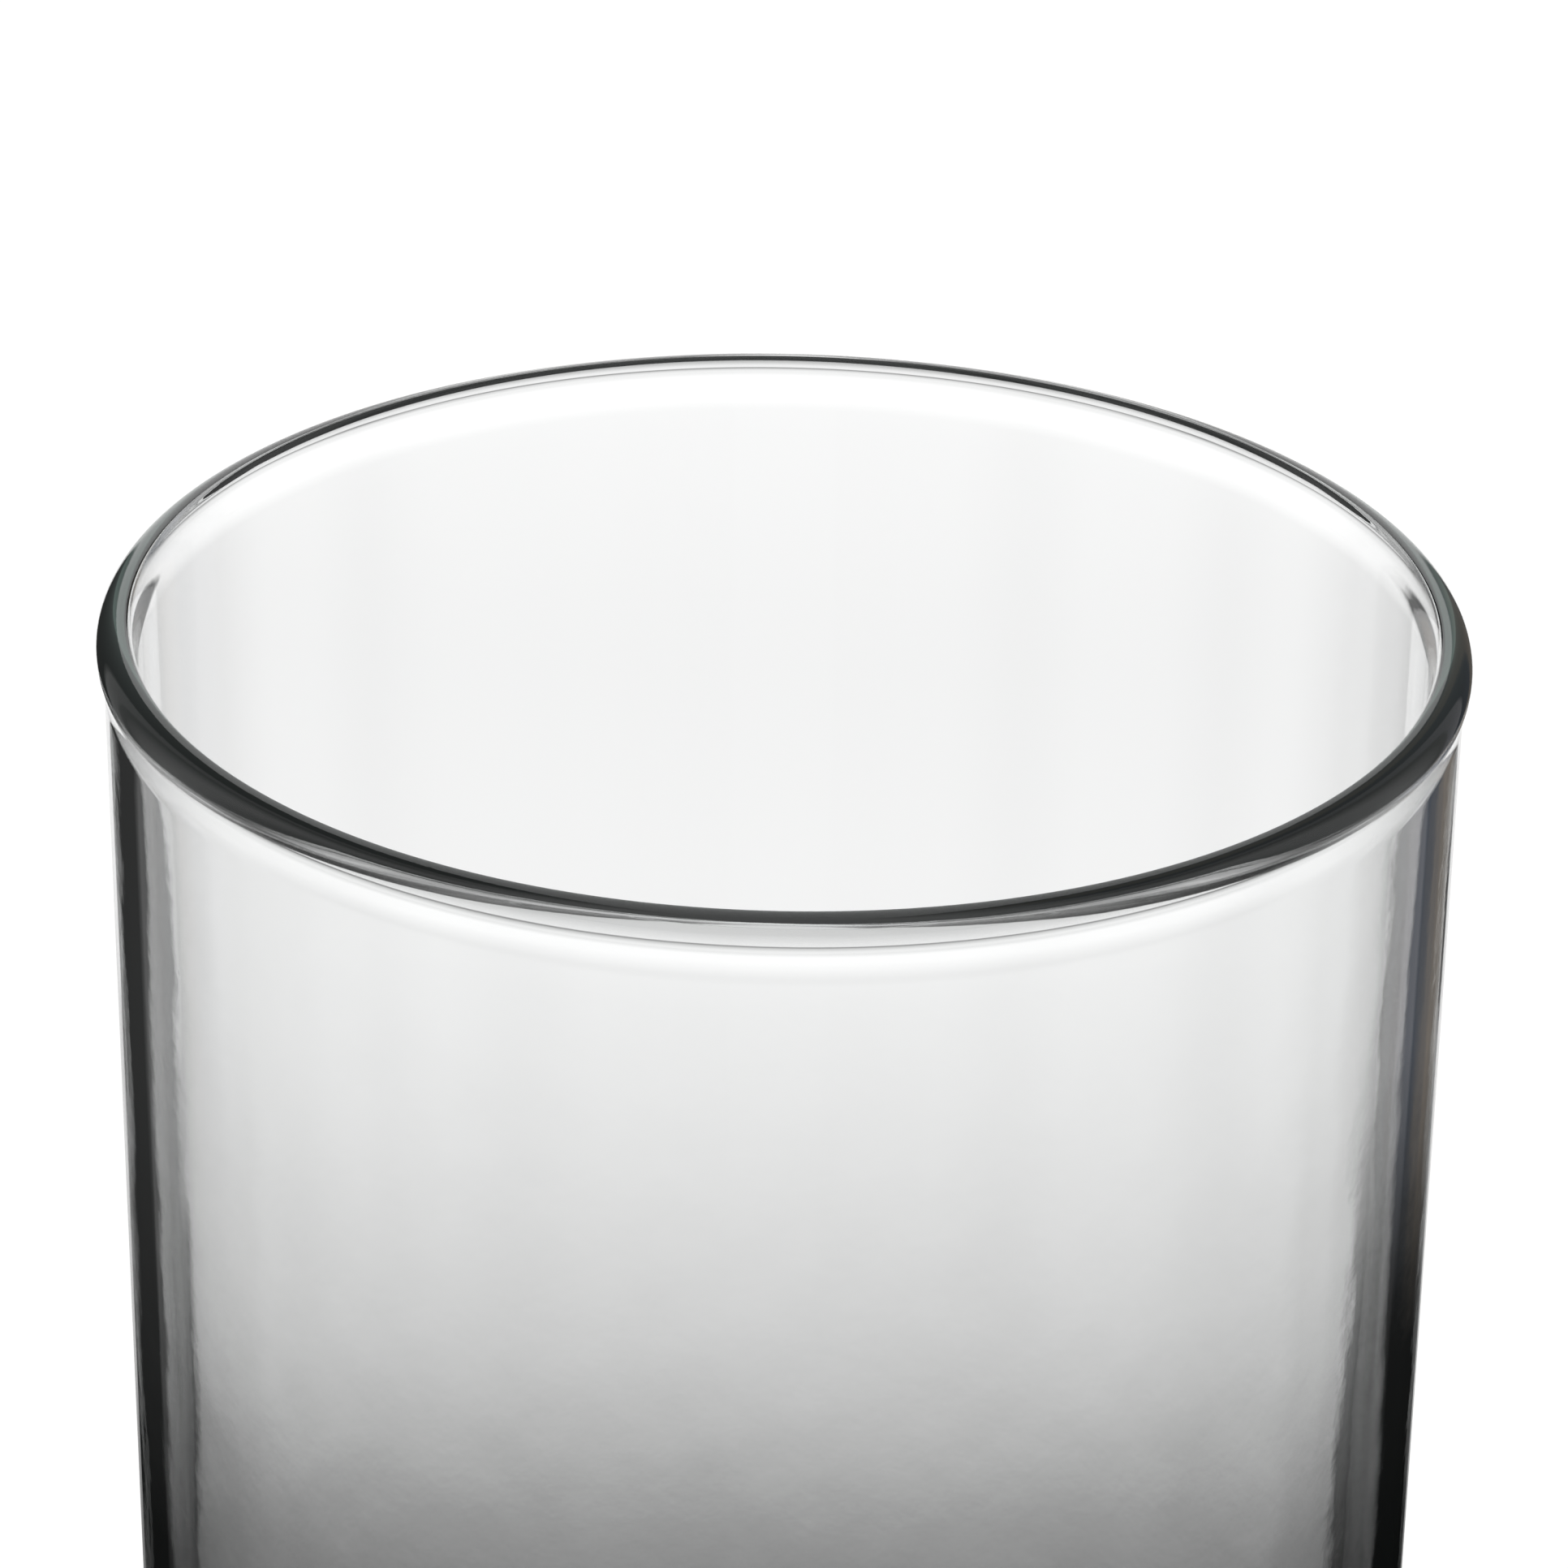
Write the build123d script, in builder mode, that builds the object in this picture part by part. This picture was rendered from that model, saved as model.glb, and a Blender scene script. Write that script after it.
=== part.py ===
"""Straight-walled glass cylinder vase, made as one continuous piece of clear glass.

Millimetres. +Z points up along the vase's own axis. The origin is the middle of the plane that
the vase stands on. The glass is one revolved section: a shallow hollow under the base, a flat
bearing ring, a rounded heel, the straight wall, a neck, the slightly proud rim and the bore.
"""
import math
import os

from build123d import *

# Overall sizes
HEIGHT = 229.0  # standing plane to the top of the rim
BODY_DIAMETER = 101.0  # outside of the straight wall
WALL_THICKNESS = 2.4

# Rim
RIM_PROUD = 0.5  # how far the rim's side stands out past the wall
RIM_CREST = 0.8  # from the bore out to the highest line of the rim
RIM_INNER_DROP = 2.5  # the melted dome falls this far from its crest to the bore
RIM_OUTER_DROP = 1.9  # and this far to the top of the rim's side
RIM_SIDE = 0.1  # short upright side of the rim
RIM_UNDERSIDE_RADIUS = 1.5  # turns the side in under the rim
NECK_RADIUS = 8.0  # hollow curve from under the rim down to the straight wall

# Base
BASE_THICKNESS = 9.0  # standing plane to the inside floor
INNER_CORNER_RADIUS = 8.0  # inside, where the floor turns up into the bore
HEEL_RADIUS = 3.5  # outside, where the base turns up into the wall
BEARING_WIDTH = 6.0  # flat ring that the vase stands on
PUNT_DEPTH = 1.6  # hollow under the middle of the base

# Radii and heights that follow from the sizes above
wall_radius = BODY_DIAMETER / 2
bore_radius = wall_radius - WALL_THICKNESS
rim_radius = wall_radius + RIM_PROUD
bearing_outer_radius = wall_radius - HEEL_RADIUS
bearing_inner_radius = bearing_outer_radius - BEARING_WIDTH
corner_top = BASE_THICKNESS + INNER_CORNER_RADIUS

# Rim: two quarters of an ellipse share a crest, then the side goes straight down
crest_radius = bore_radius + RIM_CREST
inner_height = HEIGHT - RIM_INNER_DROP
side_top = HEIGHT - RIM_OUTER_DROP
side_foot = side_top - RIM_SIDE

# Neck: a round underside and a hollow curve that meet at a tangent and end upright on the wall
curve_radii = RIM_UNDERSIDE_RADIUS + NECK_RADIUS
turn = math.acos(1 - RIM_PROUD / curve_radii)
neck_start = (wall_radius, side_foot - curve_radii * math.sin(turn))
neck_end = (
    rim_radius - RIM_UNDERSIDE_RADIUS * (1 - math.cos(turn)),
    side_foot - RIM_UNDERSIDE_RADIUS * math.sin(turn),
)

with BuildPart() as vase_body:
    with BuildSketch(Plane.XZ):
        with BuildLine():
            # Underside: shallow hollow, bearing ring and heel
            punt = TangentArc((0, PUNT_DEPTH), (bearing_inner_radius, 0), tangent=(1, 0))
            bearing = Line(punt @ 1, (bearing_outer_radius, 0))
            heel = TangentArc(bearing @ 1, (wall_radius, HEEL_RADIUS), tangent=(1, 0))
            # Outside wall, neck and the rim's side
            wall = Line(heel @ 1, neck_start)
            neck = TangentArc(wall @ 1, neck_end, tangent=(0, 1))
            underside = TangentArc(neck @ 1, (rim_radius, side_foot), tangent=neck % 1)
            side = Line(underside @ 1, (rim_radius, side_top))
            # Melted dome: outer quarter, then inner quarter
            EllipticalCenterArc(
                (crest_radius, side_top),
                rim_radius - crest_radius,
                RIM_OUTER_DROP,
                start_angle=0,
                arc_size=90,
            )
            EllipticalCenterArc(
                (crest_radius, inner_height),
                RIM_CREST,
                RIM_INNER_DROP,
                start_angle=90,
                arc_size=90,
            )
            # Straight bore, inside corner and floor
            bore = Line((bore_radius, inner_height), (bore_radius, corner_top))
            corner = TangentArc(
                bore @ 1, (bore_radius - INNER_CORNER_RADIUS, BASE_THICKNESS), tangent=(0, -1)
            )
            floor = Line(corner @ 1, (0, BASE_THICKNESS))
            Line(floor @ 1, punt @ 0)
        make_face()
    revolve(axis=Axis.Z)

vase_body.part.label = "vase_body"

os.makedirs("parts", exist_ok=True)
export_step(vase_body.part, "parts/vase_body.step")
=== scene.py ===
"""Clear glass cylinder vase: the visual model and its studio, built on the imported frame.

Metres throughout, in the frame of the CAD model: +Z up along the vase's axis, origin in the
middle of the plane that the vase stands on.
"""

import logging
import math
from dataclasses import dataclass
from enum import Enum
from typing import Any

import bmesh
import bpy
from mathutils import Matrix, Quaternion, Vector, noise


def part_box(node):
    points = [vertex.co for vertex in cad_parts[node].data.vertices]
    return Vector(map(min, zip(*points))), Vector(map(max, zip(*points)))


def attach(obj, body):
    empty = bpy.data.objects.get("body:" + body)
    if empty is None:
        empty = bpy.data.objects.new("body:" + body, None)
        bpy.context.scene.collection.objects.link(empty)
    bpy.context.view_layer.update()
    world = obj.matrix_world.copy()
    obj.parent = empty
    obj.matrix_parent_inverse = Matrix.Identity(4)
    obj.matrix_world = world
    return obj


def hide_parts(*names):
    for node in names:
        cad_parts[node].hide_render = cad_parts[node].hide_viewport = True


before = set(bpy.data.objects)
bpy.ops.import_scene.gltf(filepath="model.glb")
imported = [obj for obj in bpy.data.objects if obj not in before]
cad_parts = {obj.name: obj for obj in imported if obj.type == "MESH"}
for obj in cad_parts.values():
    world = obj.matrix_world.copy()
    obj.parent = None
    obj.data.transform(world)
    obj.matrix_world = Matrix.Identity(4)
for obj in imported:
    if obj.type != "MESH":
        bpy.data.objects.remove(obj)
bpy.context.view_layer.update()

LOG = logging.getLogger("vase")

MM = 0.001
VASE_NODE = "vase_body"
MERGE_DISTANCE = 0.002 * MM

Colour = tuple[float, float, float, float]
Stop = tuple[float, float | Colour]


def linear(hex_colour: str) -> Colour:
    """Turns an sRGB hex colour into linear RGBA.

    Args:
        hex_colour: Six hex digits, such as "F4F4F2".

    Returns:
        Red, green, blue and an alpha of 1, linear.
    """
    channels = [int(hex_colour[i : i + 2], 16) / 255 for i in (0, 2, 4)]
    red, green, blue = (
        c / 12.92 if c <= 0.04045 else ((c + 0.055) / 1.055) ** 2.4 for c in channels
    )
    return red, green, blue, 1.0


def add_node(
    tree: bpy.types.NodeTree,
    kind: str,
    settings: dict[str, Any] | None = None,
    inputs: dict[int | str, Any] | None = None,
) -> bpy.types.Node:
    """Adds a node with its settings, socket values and links.

    Args:
        tree: Node tree that the node goes into.
        kind: Blender's type name for the node.
        settings: Values for the node's own properties.
        inputs: For each input, by index or name, a value or an output socket to link from.

    Returns:
        The new node.
    """
    node = tree.nodes.new(kind)
    for name, value in (settings or {}).items():
        setattr(node, name, value)
    for key, value in (inputs or {}).items():
        if isinstance(value, bpy.types.NodeSocket):
            tree.links.new(value, node.inputs[key])
        else:
            node.inputs[key].default_value = value
    return node


def grey(value: float) -> Colour:
    """Gives a linear grey of that brightness."""
    return value, value, value, 1.0


def fill_ramp(node: bpy.types.Node, stops: list[tuple[float, Colour]]) -> None:
    """Writes stops into a colour ramp.

    Args:
        node: Colour Ramp node.
        stops: Position and linear colour of each stop, in order.
    """
    elements = node.color_ramp.elements
    while len(elements) > 1:
        elements.remove(elements[-1])
    for index, (position, colour) in enumerate(stops):
        stop = elements[0] if index == 0 else elements.new(position)
        stop.position = position
        stop.color = colour


class SectionPen:
    """Draws a section in the XZ plane as one chain of edges, from a single vertex."""

    def __init__(self, mesh: bmesh.types.BMesh, radius: float, height: float) -> None:
        """Puts the pen down.

        Args:
            mesh: Mesh to draw in.
            radius: Distance of the first point from the axis.
            height: Height of the first point.
        """
        self.mesh = mesh
        self.tip = mesh.verts.new((radius, 0.0, height))

    def line(self, radius: float, height: float, parts: int = 1) -> None:
        """Draws a straight run by extruding the tip.

        Args:
            radius: Distance of the run's end from the axis.
            height: Height of the run's end.
            parts: Edges that the run is made of.
        """
        step = (Vector((radius, 0.0, height)) - self.tip.co) / parts
        for _ in range(parts):
            self.tip = bmesh.ops.extrude_vert_indiv(self.mesh, verts=[self.tip])["verts"][0]
            bmesh.ops.translate(self.mesh, verts=[self.tip], vec=step)

    def arc(
        self, radius: float, height: float, turn: float, parts: int, stretch: float = 1.0
    ) -> None:
        """Draws an arc by spinning the tip about a centre, then stretching it upright.

        Args:
            radius: Distance of the arc's centre from the axis.
            height: Height of the arc's centre.
            turn: Angle in degrees, positive from +X towards +Z.
            parts: Edges that the arc is made of.
            stretch: How many times taller than wide the arc's ellipse is.
        """
        drawn = set(self.mesh.verts) - {self.tip}
        level = Matrix.Translation((-radius, 0.0, -height))
        bmesh.ops.scale(
            self.mesh, verts=[self.tip], vec=(1.0, 1.0, 1 / stretch), space=level
        )
        spun = bmesh.ops.spin(
            self.mesh,
            geom=[self.tip],
            cent=(radius, 0.0, height),
            axis=(0.0, -1.0, 0.0),
            angle=math.radians(turn),
            steps=parts,
            use_merge=False,
        )
        arc = [vert for vert in self.mesh.verts if vert not in drawn]
        bmesh.ops.scale(self.mesh, verts=arc, vec=(1.0, 1.0, stretch), space=level)
        self.tip = next(e for e in spun["geom_last"] if isinstance(e, bmesh.types.BMVert))


@dataclass(frozen=True)
class Ripple:
    """One layer of the gentle unevenness that blown glass keeps.

    A bump is about as long as around, measured round the vase, and as along, measured up it.
    The offset takes the layer to a place of its own in the noise.
    """

    depth: float
    around: float
    along: float
    offset: float

    def height_at(self, place: Vector) -> float:
        """Gives how far the surface stands out at a place.

        Args:
            place: Point on the surface.

        Returns:
            Height in metres, from about -depth to +depth.
        """
        run = (place.z - math.hypot(place.x, place.y)) / self.along
        sample = Vector((place.x / self.around + self.offset, place.y / self.around, run))
        return self.depth * noise.noise(sample)


class Face(Enum):
    """Which part of the glass's surface a ripple is on."""

    BORE = "bore"
    OUTSIDE = "outside"
    RIM = "rim"


@dataclass(frozen=True)
class FirePolishedSodaLime:
    """Soda-lime glass, blown in a mould, with a cut and fire-polished rim.

    It is colourless in a thin wall and faintly green through the length of a rim or base. The
    skin is as smooth as it left the fire, so its gloss is clean, apart from a film of dust and
    hand marks that only just dulls it in soft patches as wide as a fingertip. The skin's own
    unevenness, in bumps of a millimetre or so, breaks up the edge of what shows through it.
    Real glass also carries light along inside its wall, further than a few bounces reach. A weak
    glow stands in for that light, so that the rim doesn't go black.
    """

    name: str = "soda_lime_glass_blown"
    tint: str = "FFFFFF"
    absorbed: str = "C9E4DA"
    absorption_density: float = 6.0
    ior: float = 1.52
    film_size: float = 18.0 * MM
    film_detail: float = 5.0
    film_grain: float = 0.62
    film_start: float = 0.5
    film_full: float = 0.75
    film_roughness: float = 0.004
    skin_size: float = 1.4 * MM
    skin_detail: float = 2.0
    skin_depth: float = 0.0014 * MM
    carried: str = "B2BCBA"
    carried_strength: float = 1.2

    def make(self) -> bpy.types.Material:
        """Builds the node material.

        Returns:
            The glass material.
        """
        material = bpy.data.materials.new(self.name)
        material.use_nodes = True
        tree = material.node_tree
        tree.nodes.clear()
        place = add_node(tree, "ShaderNodeTexCoord")
        film = add_node(
            tree,
            "ShaderNodeTexNoise",
            inputs={
                "Vector": place.outputs["Object"],
                "Scale": 1 / self.film_size,
                "Detail": self.film_detail,
                "Roughness": self.film_grain,
            },
        )
        dulled = add_node(
            tree,
            "ShaderNodeMapRange",
            {"clamp": True},
            {
                "Value": film.outputs["Fac"],
                "From Min": self.film_start,
                "From Max": self.film_full,
                "To Min": 0.0,
                "To Max": self.film_roughness,
            },
        )
        skin = add_node(
            tree,
            "ShaderNodeTexNoise",
            inputs={
                "Vector": place.outputs["Object"],
                "Scale": 1 / self.skin_size,
                "Detail": self.skin_detail,
            },
        )
        relief = add_node(
            tree,
            "ShaderNodeBump",
            inputs={"Distance": self.skin_depth, "Height": skin.outputs["Fac"]},
        )
        glass = add_node(
            tree,
            "ShaderNodeBsdfPrincipled",
            inputs={
                "Base Color": linear(self.tint),
                "Roughness": dulled.outputs["Result"],
                "IOR": self.ior,
                "Transmission Weight": 1.0,
                "Normal": relief.outputs["Normal"],
            },
        )
        depth = add_node(
            tree,
            "ShaderNodeVolumeAbsorption",
            inputs={"Color": linear(self.absorbed), "Density": self.absorption_density},
        )
        carried = add_node(
            tree,
            "ShaderNodeEmission",
            inputs={"Color": linear(self.carried), "Strength": self.carried_strength},
        )
        inside = add_node(
            tree,
            "ShaderNodeAddShader",
            inputs={0: depth.outputs["Volume"], 1: carried.outputs["Emission"]},
        )
        add_node(
            tree,
            "ShaderNodeOutputMaterial",
            inputs={"Surface": glass.outputs["BSDF"], "Volume": inside.outputs["Shader"]},
        )
        return material


@dataclass
class GlassVase:
    """The vase: one continuous piece of glass, turned from its section.

    The sizes of the section come first, then those of the slant and the unevenness that its
    making left. A name that ends in parts or rows counts the edges that a stretch of the section
    is drawn with, and segments counts the steps of its turn round the axis.
    """

    wall: float = 2.4 * MM
    rim_proud: float = 0.5 * MM
    rim_crest: float = 0.8 * MM
    rim_inner: float = 2.5 * MM
    rim_outer: float = 1.9 * MM
    rim_side: float = 0.1 * MM
    rim_underside: float = 1.5 * MM
    neck: float = 8.0 * MM
    base: float = 9.0 * MM
    inner_corner: float = 8.0 * MM
    heel: float = 3.5 * MM
    bearing: float = 6.0 * MM
    punt: float = 1.6 * MM
    rim_slant: float = 0.0073
    slant_azimuth: float = 67.5
    melted_depth: float = 5.0 * MM
    melted_fade: float = 3.0 * MM
    wall_fade: float = 8.0 * MM
    segments: int = 256
    wall_rows: int = 120
    floor_parts: int = 10
    corner_parts: int = 14
    rim_inner_parts: int = 18
    rim_outer_parts: int = 16
    rim_side_parts: int = 3
    underside_parts: int = 8
    neck_parts: int = 12
    heel_parts: int = 12
    bearing_parts: int = 3
    punt_parts: int = 12

    def __post_init__(self) -> None:
        """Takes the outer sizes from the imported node."""
        low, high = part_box(VASE_NODE)
        self.rim_radius = (high[0] - low[0]) / 2
        self.height = high[2]
        self.wall_radius = self.rim_radius - self.rim_proud
        self.bore_radius = self.wall_radius - self.wall

    def draw_section(self, mesh: bmesh.types.BMesh) -> None:
        """Draws half of the section, from the inside floor over the rim to the underside.

        Args:
            mesh: Empty mesh to draw in.
        """
        floor_edge = self.bore_radius - self.inner_corner
        pen = SectionPen(mesh, 0.0, self.base)
        pen.line(floor_edge, self.base, self.floor_parts)
        pen.arc(floor_edge, self.base + self.inner_corner, 90.0, self.corner_parts)
        pen.line(self.bore_radius, self.height - self.rim_inner, self.wall_rows)
        self.draw_rim(pen)
        pen.line(self.wall_radius, self.heel, self.wall_rows)
        pen.arc(self.wall_radius - self.heel, self.heel, -90.0, self.heel_parts)
        ring = self.wall_radius - self.heel - self.bearing
        pen.line(ring, 0.0, self.bearing_parts)
        dome = (ring * ring + self.punt * self.punt) / (2 * self.punt)
        sweep = math.degrees(math.asin(ring / dome))
        pen.arc(0.0, self.punt - dome, sweep, self.punt_parts)

    def draw_rim(self, pen: SectionPen) -> None:
        """Draws the melted dome of the rim, its short upright side and the neck.

        Args:
            pen: Pen standing at the top of the bore.
        """
        crest = self.bore_radius + self.rim_crest
        inner_foot = self.height - self.rim_inner
        inner_stretch = self.rim_inner / self.rim_crest
        outer_stretch = self.rim_outer / (self.rim_radius - crest)
        side_top = self.height - self.rim_outer
        side_foot = side_top - self.rim_side
        curves = self.rim_underside + self.neck
        turn = math.acos(1 - self.rim_proud / curves)
        neck_foot = side_foot - curves * math.sin(turn)
        degrees = math.degrees(turn)
        pen.arc(crest, inner_foot, -90.0, self.rim_inner_parts, inner_stretch)
        pen.arc(crest, side_top, -90.0, self.rim_outer_parts, outer_stretch)
        pen.line(self.rim_radius, side_foot, self.rim_side_parts)
        pen.arc(
            self.rim_radius - self.rim_underside, side_foot, -degrees, self.underside_parts
        )
        pen.arc(self.wall_radius + self.neck, neck_foot, degrees, self.neck_parts)

    def shape(self) -> bpy.types.Object:
        """Turns the section into the closed body, then gives it the unevenness of blown glass.

        Returns:
            The vase as an object at the origin.
        """
        mesh = bmesh.new()
        self.draw_section(mesh)
        bmesh.ops.spin(
            mesh,
            geom=mesh.verts[:] + mesh.edges[:],
            cent=(0.0, 0.0, 0.0),
            axis=(0.0, 0.0, 1.0),
            angle=2 * math.pi,
            steps=self.segments,
            use_merge=True,
        )
        bmesh.ops.remove_doubles(mesh, verts=mesh.verts[:], dist=MERGE_DISTANCE)
        bmesh.ops.recalc_face_normals(mesh, faces=mesh.faces[:])
        self.ripple(mesh)
        self.slant_rim(mesh)
        for face in mesh.faces:
            face.smooth = True
        data = bpy.data.meshes.new("glass_vase")
        mesh.to_mesh(data)
        mesh.free()
        vase = bpy.data.objects.new("glass_vase", data)
        bpy.context.scene.collection.objects.link(vase)
        return vase

    def ripples_of(self, face: Face) -> tuple[Ripple, ...]:
        """Names the ripples on one part of the surface.

        Args:
            face: Part of the surface.

        Returns:
            The ripples, widest first.
        """
        if face is Face.BORE:
            return (
                Ripple(depth=0.020 * MM, around=9.0 * MM, along=24.0 * MM, offset=0.0),
                Ripple(depth=0.006 * MM, around=2.4 * MM, along=4.0 * MM, offset=20.0),
            )
        if face is Face.RIM:
            return (Ripple(depth=0.010 * MM, around=26.0 * MM, along=0.8 * MM, offset=60.0),)
        return (Ripple(depth=0.006 * MM, around=16.0 * MM, along=40.0 * MM, offset=40.0),)

    def ripple(self, mesh: bmesh.types.BMesh) -> None:
        """Moves the points of wall and rim in and out, fading out at the floor and between.

        Args:
            mesh: The turned body.
        """
        middle = self.wall_radius - self.wall / 2
        low, high = self.base + self.inner_corner, self.height - self.melted_depth
        mesh.normal_update()
        for vert in mesh.verts:
            if vert.co.z <= low:
                continue
            radius = math.hypot(vert.co.x, vert.co.y)
            if vert.co.z > high:
                face, share = Face.RIM, min(1.0, (vert.co.z - high) / self.melted_fade)
            else:
                face = Face.BORE if radius < middle else Face.OUTSIDE
                nearest_end = min(vert.co.z - low, high - vert.co.z)
                share = min(1.0, nearest_end / self.wall_fade)
            rise = sum(layer.height_at(vert.co) for layer in self.ripples_of(face)) * share
            vert.co += vert.normal * rise

    def slant_rim(self, mesh: bmesh.types.BMesh) -> None:
        """Makes the mouth slant a little, as a cut and melted rim comes out.

        Args:
            mesh: The turned body.
        """
        azimuth = math.radians(self.slant_azimuth)
        low_side = Vector((math.cos(azimuth), -math.sin(azimuth), 0.0))
        for vert in mesh.verts:
            share = vert.co.z / self.height
            vert.co.z -= self.rim_slant * share * low_side.dot(vert.co)

    def dress(self, vase: bpy.types.Object) -> None:
        """Gives the body its glass.

        Args:
            vase: The shaped body.
        """
        vase.data.materials.append(FirePolishedSodaLime().make())

    def build(self) -> bpy.types.Object:
        """Shapes and dresses the vase and ties it to the frame.

        Returns:
            The finished vase.
        """
        vase = self.shape()
        self.dress(vase)
        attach(vase, "root")
        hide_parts(VASE_NODE)
        return vase


@dataclass(frozen=True)
class Flag:
    """An upright panel in the light tent, from one azimuth to another in degrees.

    Azimuths run clockwise, seen from above, from the way that the camera looks. Light is what
    the panel gives back, and each edge takes some degrees to change over.
    """

    start: float
    end: float
    light: float = 0.03
    start_edge: float = 1.0
    end_edge: float = 1.0
    cast: str = "FFFFFF"

    def colour(self) -> Colour:
        """Gives the light that the panel gives back, as a linear colour."""
        red, green, blue, _ = linear(self.cast)
        return red * self.light, green * self.light, blue * self.light, 1.0


@dataclass(frozen=True)
class PaintedFloor:
    """Matt white sheet, painted with a roller.

    It has no gloss of its own, and a faint mottle, like emulsion paint's, in patches some
    centimetres wide. A glow keeps it as pale as the tent.
    """

    name: str = "matt_white_sheet"
    pale: str = "F3F3F1"
    paler: str = "F8F8F7"
    mottle: float = 60.0 * MM
    roughness: float = 0.9
    specular: float = 0.2
    glow: float = 0.5

    def make(self) -> bpy.types.Material:
        """Builds the node material.

        Returns:
            The floor's material.
        """
        material = bpy.data.materials.new(self.name)
        material.use_nodes = True
        tree = material.node_tree
        tree.nodes.clear()
        place = add_node(tree, "ShaderNodeTexCoord")
        cloud = add_node(
            tree,
            "ShaderNodeTexNoise",
            inputs={"Vector": place.outputs["Object"], "Scale": 1 / self.mottle},
        )
        colour = add_node(
            tree,
            "ShaderNodeMix",
            {"data_type": "RGBA"},
            {0: cloud.outputs["Fac"], 6: linear(self.pale), 7: linear(self.paler)},
        )
        paint = add_node(
            tree,
            "ShaderNodeBsdfPrincipled",
            inputs={
                "Base Color": colour.outputs[2],
                "Roughness": self.roughness,
                "Specular IOR Level": self.specular,
                "Emission Color": linear(self.paler),
                "Emission Strength": self.glow,
            },
        )
        add_node(tree, "ShaderNodeOutputMaterial", inputs={"Surface": paint.outputs["BSDF"]})
        return material


@dataclass(frozen=True)
class Sweep:
    """Range of an angle in degrees that a ramp runs over."""

    low: float
    high: float


UPRIGHT = Sweep(-90.0, 90.0)
ROUND = Sweep(-180.0, 180.0)


@dataclass
class LightTent:
    """White tent of soft light round the vase, with black flags that draw the glass's edges.

    A flat backdrop stands ahead, bright at the top and falling away into shadow below. Glass
    bends the view outwards near its own edges, so the flags beside the backdrop show there as
    dark lines, and the middle stays clear. Steep rays from the rim land on the lit table in
    front of the backdrop. The camera itself sees the tent as plain white.

    Each gradient lists elevations in degrees and the light there. The low flags stand below
    lower_end and the other ones above lower_start, with a change-over between. Over flag_top
    there are none.
    """

    azimuth: float = 67.5
    floor_size: float = 6.0
    white: float = 1.15
    far_light: float = 0.75
    backdrop: tuple[Stop, ...] = (
        (-90.0, 0.04),
        (-40.0, 0.04),
        (-36.0, 0.12),
        (-34.0, 0.31),
        (-33.0, 0.51),
        (-32.0, 0.66),
        (-30.0, 0.83),
        (-28.0, 0.93),
        (-25.0, 0.92),
        (-22.0, 0.99),
        (-18.0, 1.08),
        (-10.0, 1.12),
        (90.0, 1.0),
    )
    table: tuple[Stop, ...] = (
        (-90.0, 0.66),
        (-52.0, 0.66),
        (-46.0, 0.78),
        (-40.0, 0.90),
        (-35.4, 0.95),
        (90.0, 0.95),
    )
    sides: tuple[Stop, ...] = (
        (-90.0, 0.6),
        (-50.0, 0.6),
        (-40.0, 0.03),
        (-36.0, 0.04),
        (-33.7, 0.10),
        (-33.0, 0.25),
        (-31.4, 0.58),
        (-30.2, 0.73),
        (-28.9, 0.87),
        (-22.0, 0.95),
        (-10.0, 1.0),
        (90.0, 1.0),
    )
    table_end: float = -35.4
    backdrop_foot: float = -34.7
    flags: tuple[Flag, ...] = (
        Flag(-143.0, -127.0, 0.45, 12.0, 12.0),
        Flag(-98.0, -82.0, 0.45, 12.0, 12.0),
        Flag(-60.0, -48.8, 0.20, 16.0),
        Flag(-48.8, -39.5, 0.32),
        Flag(-39.5, -18.8, 0.03),
        Flag(17.2, 21.0, 0.12),
        Flag(21.0, 30.5, 0.24, 1.0, 2.0, "E6DACE"),
        Flag(30.5, 40.0, 0.13, 2.0, 1.0, "C4CEE0"),
        Flag(40.0, 48.8, 0.36, 1.0, 1.0, "EDEDF4"),
        Flag(48.8, 60.0, 0.20, 1.0, 16.0),
        Flag(88.0, 104.0, 0.45, 12.0, 12.0),
    )
    low_flags: tuple[Flag, ...] = (
        Flag(-143.0, -127.0, 0.45, 12.0, 12.0),
        Flag(-98.0, -82.0, 0.45, 12.0, 12.0),
        Flag(-55.0, -48.8, 0.10, 8.0),
        Flag(-48.8, -40.0, 0.34),
        Flag(-40.0, -17.5, 0.03),
        Flag(14.6, 42.0, 0.01),
        Flag(42.0, 48.8, 0.12),
        Flag(48.8, 55.0, 0.05, 1.0, 8.0),
        Flag(88.0, 104.0, 0.45, 12.0, 12.0),
    )
    lower_end: float = -31.4
    lower_start: float = -28.9
    flag_top: float = 60.0
    flag_top_edge: float = 15.0
    backdrop_inset: float = 1.0
    backdrop_edge: float = 0.1

    def ramp(
        self,
        tree: bpy.types.NodeTree,
        angle: bpy.types.NodeSocket,
        sweep: Sweep,
        stops: tuple[Stop, ...],
    ) -> bpy.types.NodeSocket:
        """Adds a ramp over an angle.

        Args:
            tree: The world's node tree.
            angle: Angle in degrees.
            sweep: Angles at the ramp's start and end.
            stops: Angle of each stop and its brightness or linear colour, in order.

        Returns:
            The ramp's colour socket.
        """
        share = add_node(
            tree,
            "ShaderNodeMapRange",
            {"clamp": True},
            {"Value": angle, "From Min": sweep.low, "From Max": sweep.high},
        )
        node = add_node(tree, "ShaderNodeValToRGB", inputs={0: share.outputs["Result"]})
        colours = [
            (
                (degrees - sweep.low) / (sweep.high - sweep.low),
                grey(light) if isinstance(light, float) else light,
            )
            for degrees, light in stops
        ]
        fill_ramp(node, colours)
        return node.outputs["Color"]

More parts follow.
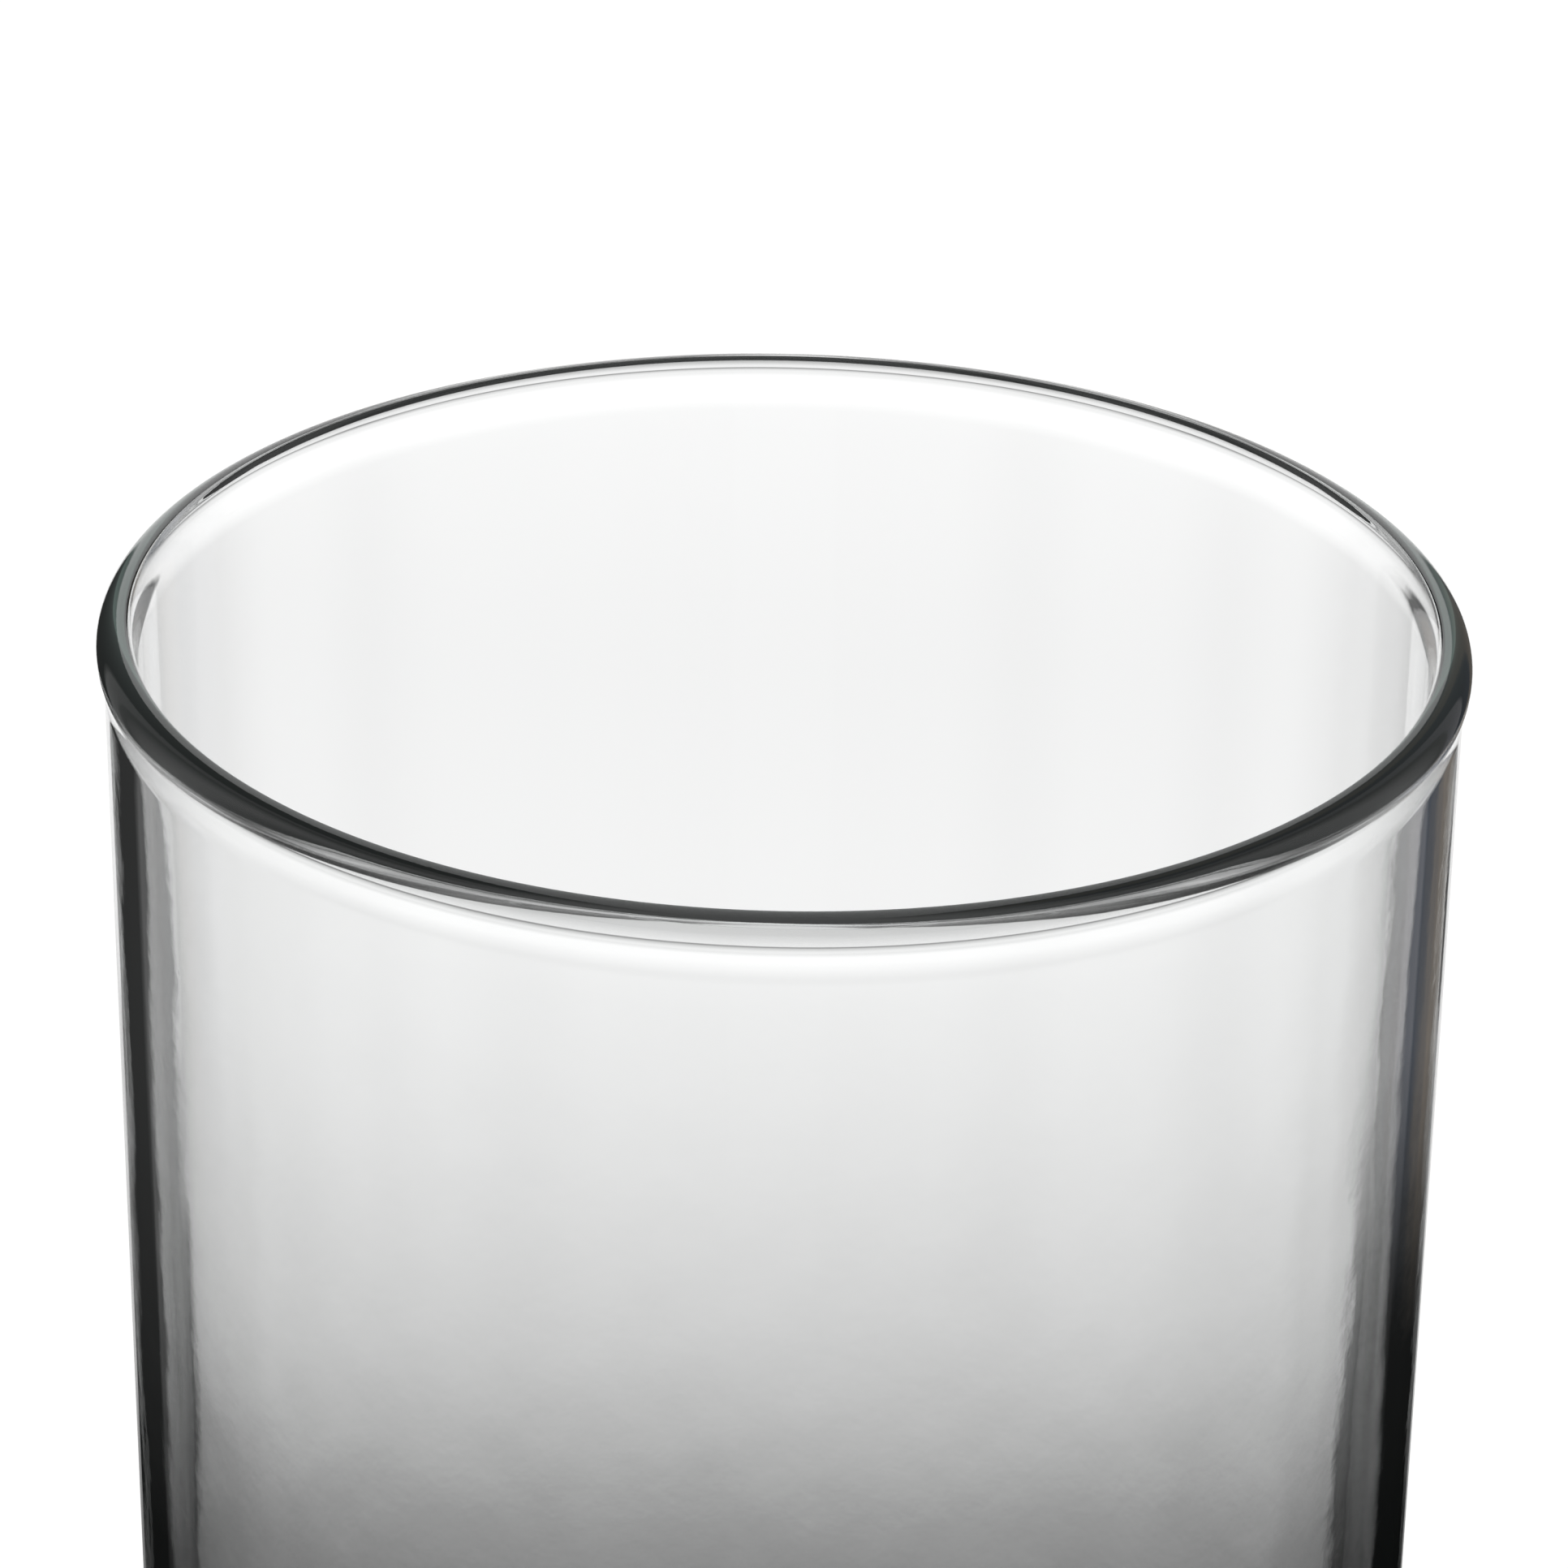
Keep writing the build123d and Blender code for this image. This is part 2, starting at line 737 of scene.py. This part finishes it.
    def step(
        self,
        tree: bpy.types.NodeTree,
        angle: bpy.types.NodeSocket,
        last: float,
        first: float,
    ) -> bpy.types.NodeSocket:
        """Adds a share that falls from 1 to 0 as an elevation rises.

        Args:
            tree: The world's node tree.
            angle: Elevation in degrees.
            last: Last elevation with a share of 1.
            first: First elevation with a share of 0.

        Returns:
            The share's socket.
        """
        stops = ((UPRIGHT.low, 1.0), (last, 1.0), (first, 0.0), (UPRIGHT.high, 0.0))
        return self.ramp(tree, angle, UPRIGHT, stops)

    def flag_stops(self, flags: tuple[Flag, ...]) -> tuple[Stop, ...]:
        """Lists the brightness round the tent, between the flags too.

        Args:
            flags: Flags in order of azimuth.

        Returns:
            Azimuth and light of each change, in order.
        """
        stops: list[Stop] = []
        for before, flag in zip((None, *flags), flags):
            if before is None or before.end != flag.start:
                ahead = before is not None and before.end < 0.0 < flag.start
                around = 1.0 if ahead else self.far_light
                if before is not None:
                    stops.append((before.end + before.end_edge / 2, around))
                stops.append((flag.start - flag.start_edge / 2, around))
            stops.append((flag.start + flag.start_edge / 2, flag.colour()))
            stops.append((flag.end - flag.end_edge / 2, flag.colour()))
        last = flags[-1]
        stops.append((last.end + last.end_edge / 2, self.far_light))
        return tuple(stops)

    def angle(
        self, tree: bpy.types.NodeTree, over: bpy.types.NodeSocket, base: bpy.types.NodeSocket
    ) -> bpy.types.NodeSocket:
        """Adds the angle in degrees whose tangent is one length over another.

        Args:
            tree: The world's node tree.
            over: Length across.
            base: Length along.

        Returns:
            The angle's socket.
        """
        radians = add_node(
            tree, "ShaderNodeMath", {"operation": "ARCTAN2"}, {0: over, 1: base}
        )
        degrees = add_node(
            tree, "ShaderNodeMath", {"operation": "DEGREES"}, {0: radians.outputs[0]}
        )
        return degrees.outputs[0]

    def directions(
        self, tree: bpy.types.NodeTree
    ) -> tuple[bpy.types.NodeSocket, bpy.types.NodeSocket, bpy.types.NodeSocket]:
        """Adds the angles of a ray that reaches the tent.

        Args:
            tree: The world's node tree.

        Returns:
            The azimuth from straight ahead, the elevation on the flat backdrop, and the true
            elevation.
        """
        turn = math.radians(self.azimuth)
        ray = add_node(tree, "ShaderNodeTexCoord").outputs["Generated"]
        height = add_node(tree, "ShaderNodeSeparateXYZ", inputs={0: ray}).outputs["Z"]
        level = add_node(
            tree,
            "ShaderNodeVectorMath",
            {"operation": "MULTIPLY"},
            {0: ray, 1: (1.0, 1.0, 0.0)},
        ).outputs["Vector"]
        reach = add_node(
            tree, "ShaderNodeVectorMath", {"operation": "LENGTH"}, {0: level}
        ).outputs["Value"]
        ahead, aside = (
            add_node(
                tree,
                "ShaderNodeVectorMath",
                {"operation": "DOT_PRODUCT"},
                {0: level, 1: along},
            ).outputs["Value"]
            for along in (
                (math.sin(turn), math.cos(turn), 0.0),
                (math.cos(turn), -math.sin(turn), 0.0),
            )
        )
        return (
            self.angle(tree, aside, ahead),
            self.angle(tree, height, ahead),
            self.angle(tree, height, reach),
        )

    def paint_walls(
        self,
        tree: bpy.types.NodeTree,
        azimuth: bpy.types.NodeSocket,
        on_backdrop: bpy.types.NodeSocket,
        elevation: bpy.types.NodeSocket,
    ) -> bpy.types.NodeSocket:
        """Adds the light of the tent without its flags: backdrop and table ahead, then the sides.

        Args:
            tree: The world's node tree.
            azimuth: Azimuth from straight ahead.
            on_backdrop: Elevation on the flat backdrop.
            elevation: True elevation.

        Returns:
            The light's socket.
        """
        backdrop = self.ramp(tree, on_backdrop, UPRIGHT, self.backdrop)
        table = self.ramp(tree, elevation, UPRIGHT, self.table)
        near = self.step(tree, elevation, self.table_end, self.backdrop_foot)
        front = add_node(
            tree, "ShaderNodeMix", {"data_type": "RGBA"}, {0: near, 6: backdrop, 7: table}
        ).outputs[2]
        sides = self.ramp(tree, elevation, UPRIGHT, self.sides)
        left = max(flag.end for flag in self.flags if flag.end < 0.0) - self.backdrop_inset
        right = min(flag.start for flag in self.flags if flag.start > 0.0) + self.backdrop_inset
        ahead = self.ramp(
            tree,
            azimuth,
            ROUND,
            (
                (ROUND.low, 0.0),
                (left, 0.0),
                (left + self.backdrop_edge, 1.0),
                (right - self.backdrop_edge, 1.0),
                (right, 0.0),
            ),
        )
        return add_node(
            tree, "ShaderNodeMix", {"data_type": "RGBA"}, {0: ahead, 6: sides, 7: front}
        ).outputs[2]

    def hang_flags(
        self,
        tree: bpy.types.NodeTree,
        azimuth: bpy.types.NodeSocket,
        elevation: bpy.types.NodeSocket,
    ) -> bpy.types.NodeSocket:
        """Adds what the flags leave of the light, with clear light over their tops.

        Args:
            tree: The world's node tree.
            azimuth: Azimuth from straight ahead.
            elevation: True elevation.

        Returns:
            The share's socket.
        """
        high = self.ramp(tree, azimuth, ROUND, self.flag_stops(self.flags))
        low = self.ramp(tree, azimuth, ROUND, self.flag_stops(self.low_flags))
        lowered = self.step(tree, elevation, self.lower_end, self.lower_start)
        flags = add_node(
            tree, "ShaderNodeMix", {"data_type": "RGBA"}, {0: lowered, 6: high, 7: low}
        ).outputs[2]
        under = self.step(
            tree, elevation, self.flag_top, self.flag_top + self.flag_top_edge
        )
        return add_node(
            tree, "ShaderNodeMix", {"data_type": "RGBA"}, {0: under, 6: grey(1.0), 7: flags}
        ).outputs[2]

    def hang(self) -> None:
        """Builds the tent as the world's light."""
        world = bpy.data.worlds.new("light_tent")
        bpy.context.scene.world = world
        world.use_nodes = True
        tree = world.node_tree
        tree.nodes.clear()
        azimuth, on_backdrop, elevation = self.directions(tree)
        walls = self.paint_walls(tree, azimuth, on_backdrop, elevation)
        flags = self.hang_flags(tree, azimuth, elevation)
        light = add_node(
            tree,
            "ShaderNodeMix",
            {"data_type": "RGBA", "blend_type": "MULTIPLY"},
            {0: 1.0, 6: walls, 7: flags},
        ).outputs[2]
        straight = add_node(tree, "ShaderNodeLightPath").outputs["Is Camera Ray"]
        seen = add_node(
            tree,
            "ShaderNodeMix",
            {"data_type": "RGBA"},
            {0: straight, 6: light, 7: grey(self.white)},
        ).outputs[2]
        glow = add_node(tree, "ShaderNodeBackground", inputs={"Color": seen})
        add_node(tree, "ShaderNodeOutputWorld", inputs={"Surface": glow.outputs["Background"]})

    def lay_floor(self) -> bpy.types.Object:
        """Lays the pale floor that the vase stands on.

        What shows through the glass and in its gloss is the tent, not the floor.

        Returns:
            The floor.
        """
        mesh = bmesh.new()
        bmesh.ops.create_grid(mesh, x_segments=1, y_segments=1, size=self.floor_size / 2)
        data = bpy.data.meshes.new("floor")
        mesh.to_mesh(data)
        mesh.free()
        floor = bpy.data.objects.new("floor", data)
        floor.data.materials.append(PaintedFloor().make())
        floor.visible_transmission = False
        floor.visible_glossy = False
        bpy.context.scene.collection.objects.link(floor)
        return floor


@dataclass
class StudioCamera:
    """Long-lens camera that looks down at the rim and the upper wall, as a product shot does.

    The distances back and above are in radii of the wall, from the middle of the rim. Angles are
    in degrees, and the lens, the sensor and the two clipping distances are as Blender has them.
    """

    azimuth: float = 67.5
    back: float = 7.7391
    above: float = 3.5598
    pitch: float = 26.4715
    yaw: float = 0.0125
    roll: float = 0.785
    lens: float = 132.81
    sensor: float = 36.0
    nearest: float = 0.01
    farthest: float = 50.0

    def place(self, radius: float, aim_height: float) -> bpy.types.Object:
        """Sets the camera up and makes it the scene's own.

        Args:
            radius: Outer radius of the wall.
            aim_height: Height that the distances are measured from.

        Returns:
            The camera.
        """
        turn, pitch = math.radians(self.azimuth), math.radians(self.pitch)
        ahead = Vector((math.sin(turn), math.cos(turn), 0.0))
        data = bpy.data.cameras.new("studio_camera")
        data.lens = self.lens
        data.sensor_width = self.sensor
        data.clip_start = self.nearest
        data.clip_end = self.farthest
        camera = bpy.data.objects.new("studio_camera", data)
        bpy.context.scene.collection.objects.link(camera)
        camera.location = ahead * (-self.back * radius)
        camera.location.z = aim_height + self.above * radius
        aim_turn = turn + math.radians(self.yaw)
        aim_ahead = Vector((math.sin(aim_turn), math.cos(aim_turn), 0.0))
        aim = aim_ahead * math.cos(pitch) + Vector((0.0, 0.0, -math.sin(pitch)))
        camera.rotation_mode = "QUATERNION"
        level = aim.to_track_quat("-Z", "Y")
        camera.rotation_quaternion = level @ Quaternion((0.0, 0.0, 1.0), math.radians(self.roll))
        bpy.context.scene.camera = camera
        return camera


def main() -> None:
    """Builds the vase, then the studio round it, and logs what it made."""
    logging.basicConfig(level=logging.INFO, format="%(name)s: %(message)s")
    vase = GlassVase()
    body = vase.build()
    LOG.info("%s: %d faces", body.name, len(body.data.polygons))
    tent = LightTent()
    tent.hang()
    floor = tent.lay_floor()
    LOG.info("%s laid", floor.name)
    camera = StudioCamera().place(vase.wall_radius, vase.height)
    LOG.info("%s placed", camera.name)
    bpy.context.scene.view_settings.view_transform = "Standard"
    LOG.info("sizes noted")


if __name__ == "__main__":
    main()
